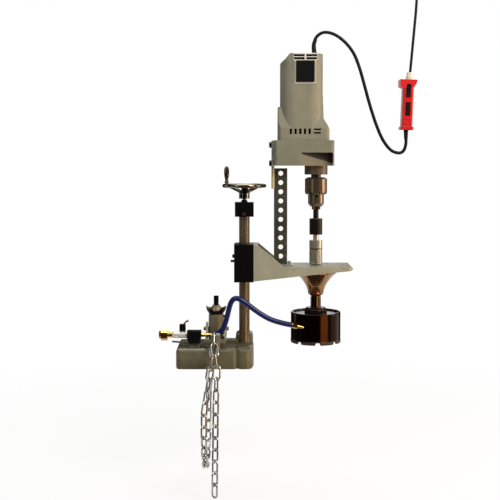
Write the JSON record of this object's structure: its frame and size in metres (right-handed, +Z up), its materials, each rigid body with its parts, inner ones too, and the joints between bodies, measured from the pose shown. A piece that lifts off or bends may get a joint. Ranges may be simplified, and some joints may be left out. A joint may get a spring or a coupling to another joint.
{
  "type": "electric pipe hole cutter",
  "caption": "Chain-clamped saddle with a column, screw-fed arm and electric drill that turns a hole saw into the crown of a pipe, with a water line for cooling.",
  "frame": {"origin": "on the crown line of the pipe, under the axis of the tension tower", "axes": "+Z up, +X along the pipe from the tower towards the saw, +Y to the back"},
  "size_m": [0.631, 0.2982, 1.2222],
  "materials": {
    "saddle_paint": "semi-gloss olive-grey enamel",
    "black_oxide": "black oxide",
    "black_paint": "satin black",
    "steel_column": "ground and polished",
    "bright_steel": "turned",
    "bearing_steel": "ground",
    "wheel_chrome": "polished plating",
    "bronze": "turned bronze",
    "brass": "turned brass",
    "valve_chrome": "polished plating",
    "strap_steel": "zinc plated",
    "black_plastic": "moulded",
    "cream_plastic": "moulded nylon",
    "hose_blue": "smooth",
    "chain_zinc": "bright zinc",
    "yoke_zinc": "zinc plated",
    "arm_cast": "painted casting",
    "housing_dark": "dark polished casting",
    "angle_zinc": "galvanised",
    "drill_shell": "fine texture",
    "gear_case_cast": "painted casting",
    "laminations": "varnished laminations",
    "carbon": "pressed carbon",
    "winding": "varnished copper and steel",
    "gear_steel": "cut and hardened",
    "chuck_steel": "ground",
    "saw_black": "gloss black",
    "cord_black": "smooth jacket",
    "gfci_red": "moulded"
  },
  "bodies": {
    "stand": {"saddle_base": "saddle_paint", "key_screws": "black_oxide", "column": "steel_column", "top_block": "black_paint", "thrust_bearing": "bearing_steel", "water_clip": "strap_steel", "hose_holder": "black_plastic", "water_valve": "valve_chrome", "inlet_seal": "cream_plastic", "hose_barb": "brass", "water_hose": "hose_blue", "spray_nozzle": "brass", "gfci_case": "gfci_red", "gfci_gland": "cream_plastic", "supply_cord": "cord_black", "supply_plug": "black_plastic"},
    "tensioner": {"tension_stud": "black_oxide", "tension_yoke": "yoke_zinc", "chain_wrap": "chain_zinc"},
    "tension_nut": {"wing_nut": "black_paint"},
    "tail_upper": {"chain_tail_upper": "chain_zinc"},
    "tail_lower": {"chain_tail_lower": "chain_zinc"},
    "feed_wheel": {"handwheel": "wheel_chrome", "feed_screw": "bright_steel"},
    "crank": {"crank_handle": "wheel_chrome"},
    "arm": {"arm_casting": "arm_cast", "slide_cap": "black_paint", "slide_bushes": "bronze", "arm_screws": "black_oxide", "feed_nut": "bronze", "bearing_housing": "housing_dark", "ball_bearings": "bearing_steel", "bracket_foot": "strap_steel", "bracket_angle": "angle_zinc", "bracket_plate": "yoke_zinc", "gear_case": "gear_case_cast", "motor_housing": "drill_shell", "end_cap": "drill_shell", "stator": "laminations", "carbon_brushes": "carbon", "motor_cord": "cord_black"},
    "slide_lock": {"slide_lock_screw": "black_oxide"},
    "switch": {"switch_paddle": "black_plastic"},
    "rotor": {"armature": "winding"},
    "countershaft": {"counter_gear": "gear_steel"},
    "spindle": {"drill_spindle": "gear_steel", "chuck_body": "chuck_steel", "drive_adapter": "black_oxide", "shaft_coupling": "bright_steel", "cutter_spindle": "bright_steel", "saw_hub": "black_oxide", "hole_saw": "saw_black"},
    "sleeve": {"chuck_sleeve": "chuck_steel"},
    "jaw_1": {"chuck_jaw_1": "chuck_steel"},
    "jaw_2": {"chuck_jaw_2": "chuck_steel"},
    "jaw_3": {"chuck_jaw_3": "chuck_steel"},
    "valve": {"valve_handle": "black_plastic"},
    "inlet": {"inlet_nut": "brass"},
    "test_button": {"gfci_test_button": "black_plastic"},
    "reset_button": {"gfci_reset_button": "black_plastic"}
  },
  "joints": [
    {"name": "handwheel_turn", "type": "hinge", "parent": "stand", "child": "feed_wheel", "pos_m": [0.068, 0, 0.4], "axis": [0, 0, 1], "range_deg": [-8118, 5238]},
    {"name": "arm_slide", "type": "slide", "parent": "stand", "child": "arm", "axis": [0, 0, 1], "range_m": [-0.09, 0.058], "deforming": ["motor_cord"]},
    {"name": "crank_spin", "type": "hinge", "parent": "feed_wheel", "child": "crank", "pos_m": [0.02501, 0.02191, 0.42], "axis": [0, 0, 1], "continuous": true},
    {"name": "armature_spin", "type": "hinge", "parent": "arm", "child": "rotor", "pos_m": [0.204, 0, 0.6], "axis": [0, 0, 1], "continuous": true},
    {"name": "counter_spin", "type": "hinge", "parent": "arm", "child": "countershaft", "pos_m": [0.21026, 0.02523, 0.49], "axis": [0, 0, 1], "continuous": true},
    {"name": "spindle_spin", "type": "hinge", "parent": "arm", "child": "spindle", "pos_m": [0.24, 0, 0.3], "axis": [0, 0, 1], "continuous": true},
    {"name": "chuck_sleeve_turn", "type": "hinge", "parent": "spindle", "child": "sleeve", "pos_m": [0.24, 0, 0.405], "axis": [0, 0, 1], "range_deg": [0, 720]},
    {"name": "jaw_1_slide", "type": "slide", "parent": "spindle", "child": "jaw_1", "axis": [0, 0.1045, 0.9945], "range_m": [-0.00001, 0.00801]},
    {"name": "jaw_2_slide", "type": "slide", "parent": "spindle", "child": "jaw_2", "axis": [-0.0905, -0.0523, 0.9945], "range_m": [-0.00001, 0.00801]},
    {"name": "jaw_3_slide", "type": "slide", "parent": "spindle", "child": "jaw_3", "axis": [0.0905, -0.0523, 0.9945], "range_m": [-0.00001, 0.00801]},
    {"name": "wing_nut_turn", "type": "hinge", "parent": "stand", "child": "tension_nut", "pos_m": [0, 0, 0.11], "axis": [0, 0, 1], "range_deg": [-20, 2490]},
    {"name": "tension_lift", "type": "slide", "parent": "stand", "child": "tensioner", "axis": [0, 0, 1], "range_m": [-0.012, 0]},
    {"name": "tail_upper_swing", "type": "hinge", "parent": "tensioner", "child": "tail_upper", "pos_m": [-0.00233, -0.08662, 0.04598], "axis": [-1, 0, 0], "range_deg": [0, 35]},
    {"name": "tail_lower_swing", "type": "hinge", "parent": "tail_upper", "child": "tail_lower", "pos_m": [0.00324, -0.1481, -0.12957], "axis": [-1, 0, 0], "range_deg": [-10, 15]},
    {"name": "slide_lock_turn", "type": "hinge", "parent": "arm", "child": "slide_lock", "pos_m": [0.044, -0.008, 0.231], "axis": [1, 0, 0], "range_deg": [0, 270]},
    {"name": "switch_press", "type": "slide", "parent": "arm", "child": "switch", "axis": [0, 1, 0], "range_m": [0, 0.0035], "stiffness_N_per_m": 800},
    {"name": "valve_turn", "type": "hinge", "parent": "stand", "child": "valve", "pos_m": [-0.079, -0.032, 0.07], "axis": [0, 0, 1], "range_deg": [0, 90]},
    {"name": "inlet_swivel", "type": "hinge", "parent": "stand", "child": "inlet", "pos_m": [-0.12, -0.032, 0.057], "axis": [1, 0, 0], "continuous": true},
    {"name": "test_press", "type": "slide", "parent": "stand", "child": "test_button", "axis": [0, 1, 0], "range_m": [0, 0.002], "stiffness_N_per_m": 500},
    {"name": "reset_press", "type": "slide", "parent": "stand", "child": "reset_button", "axis": [0, 1, 0], "range_m": [0, 0.002], "stiffness_N_per_m": 500}
  ],
  "couplings": [
    {"joint": "handwheel_turn", "follows": "arm_slide", "rad_per_m": 1570.8},
    {"joint": "counter_spin", "follows": "armature_spin", "ratio": -0.3},
    {"joint": "spindle_spin", "follows": "armature_spin", "ratio": 0.09},
    {"joint": "wing_nut_turn", "follows": "tension_lift", "rad_per_m": -3590.4},
    {"joint": "jaw_1_slide", "follows": "chuck_sleeve_turn", "m_per_rad": 0.00063662},
    {"joint": "jaw_2_slide", "follows": "chuck_sleeve_turn", "m_per_rad": 0.00063662},
    {"joint": "jaw_3_slide", "follows": "chuck_sleeve_turn", "m_per_rad": 0.00063662}
  ]
}
